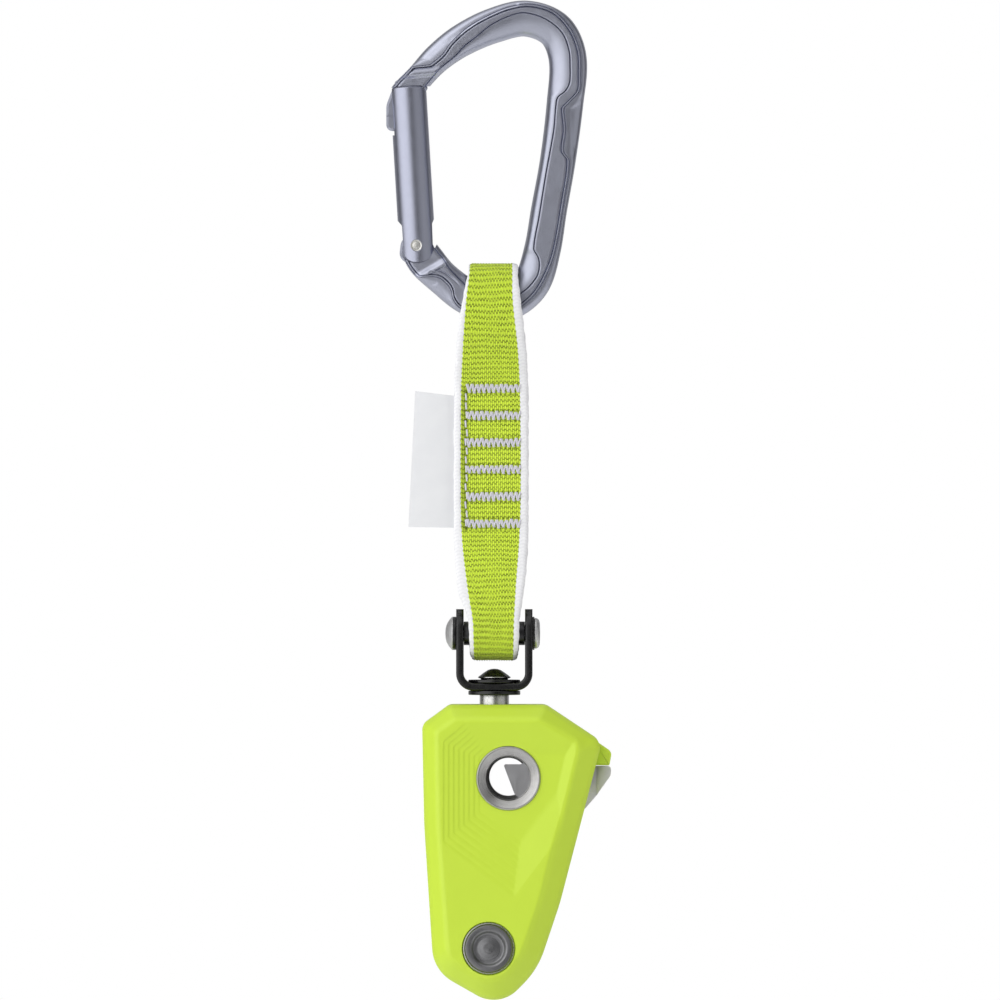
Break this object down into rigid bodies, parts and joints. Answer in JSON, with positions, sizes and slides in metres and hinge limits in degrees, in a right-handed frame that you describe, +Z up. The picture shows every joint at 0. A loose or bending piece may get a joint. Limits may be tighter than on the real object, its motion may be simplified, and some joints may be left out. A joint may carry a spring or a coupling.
{
  "type": "rope descender",
  "caption": "Hanging rope brake: straight-gate carabiner, sewn sling, swivel shackle and a two-shell rope housing with V jaws that opens about its bottom rivet.",
  "frame": {"origin": "inner apex of the carabiner's top bow, where it hangs on a bolt hanger, in the bar's middle plane", "axes": "+Z up along the hanging assembly, front cover faces -Y, +X to the right seen from the front"},
  "size_m": [0.0673, 0.036, 0.299],
  "materials": {
    "forged_bar": "satin anodised, blue-grey",
    "gate_tube": "satin anodised, blue-grey",
    "bright_steel": "brushed",
    "dark_steel": "fine turned",
    "black_steel": "semi-gloss black",
    "spring_wire": "bright drawn wire",
    "webbing": "woven polyester, lime with white edges",
    "thread": "twisted sewing thread, pale grey",
    "tab": "smooth woven ribbon, white",
    "grey_plastic": "matt",
    "shell": "satin moulded, lime",
    "block": "die cast, bead blasted"
  },
  "bodies": {
    "carabiner": {"carabiner_frame": "forged_bar", "gate_rivet": "bright_steel"},
    "gate": {"gate": "gate_tube", "gate_spring": "spring_wire", "gate_plunger": "bright_steel"},
    "sling": {"sling_webbing": "webbing", "bar_tacks": "thread", "edge_stitch": "thread", "sling_tab": "tab", "thimble": "grey_plastic"},
    "shackle": {"shackle": "black_steel", "shackle_pin": "bright_steel", "pin_sleeve": "dark_steel", "pin_washer_left": "black_steel", "pin_washer_right": "black_steel"},
    "housing": {"swivel_bolt": "bright_steel", "swivel_washer_upper": "black_steel", "swivel_washer_lower": "black_steel", "swivel_nut": "bright_steel", "channel_block": "block", "rear_plate": "bright_steel", "rear_shell": "shell", "rear_jaw": "bright_steel", "rear_eyelet": "bright_steel", "bottom_rivet": "dark_steel", "rope_sleeve": "bright_steel", "rivet_washer": "dark_steel", "catch_pin": "bright_steel", "rear_screws": "black_steel"},
    "cover": {"front_shell": "shell", "front_plate": "bright_steel", "front_jaw": "bright_steel", "front_eyelet": "bright_steel", "front_screws": "bright_steel", "latch_pin": "bright_steel", "latch_spring": "spring_wire"},
    "latch": {"latch_lever": "dark_steel"}
  },
  "joints": [
    {"name": "gate_hinge", "type": "hinge", "parent": "carabiner", "child": "gate", "pos_m": [-0.0334, 0, -0.0627], "axis": [0, 1, 0], "range_deg": [0, 26], "stiffness_Nm_per_rad": 0.3, "springref_deg": -51.57},
    {"name": "sling_swing", "type": "hinge", "parent": "carabiner", "child": "sling", "pos_m": [-0.01, 0, -0.0788], "axis": [1, 0, 0], "range_deg": [-50, 50]},
    {"name": "shackle_swing", "type": "hinge", "parent": "sling", "child": "shackle", "pos_m": [-0.01, 0, -0.179], "axis": [1, 0, 0], "range_deg": [-100, 100]},
    {"name": "swivel_turn", "type": "hinge", "parent": "shackle", "child": "housing", "pos_m": [-0.01, 0, -0.195], "axis": [0, 0, 1], "continuous": true},
    {"name": "cover_hinge", "type": "hinge", "parent": "housing", "child": "cover", "pos_m": [-0.0117, 0, -0.2731], "axis": [0, 1, 0], "range_deg": [0, 90]},
    {"name": "latch_hinge", "type": "hinge", "parent": "cover", "child": "latch", "pos_m": [0.0085, -0.0116, -0.2295], "axis": [0, 1, 0], "range_deg": [0, 6], "stiffness_Nm_per_rad": 0.04, "springref_deg": -22.92, "deforming": ["latch_spring"]}
  ]
}
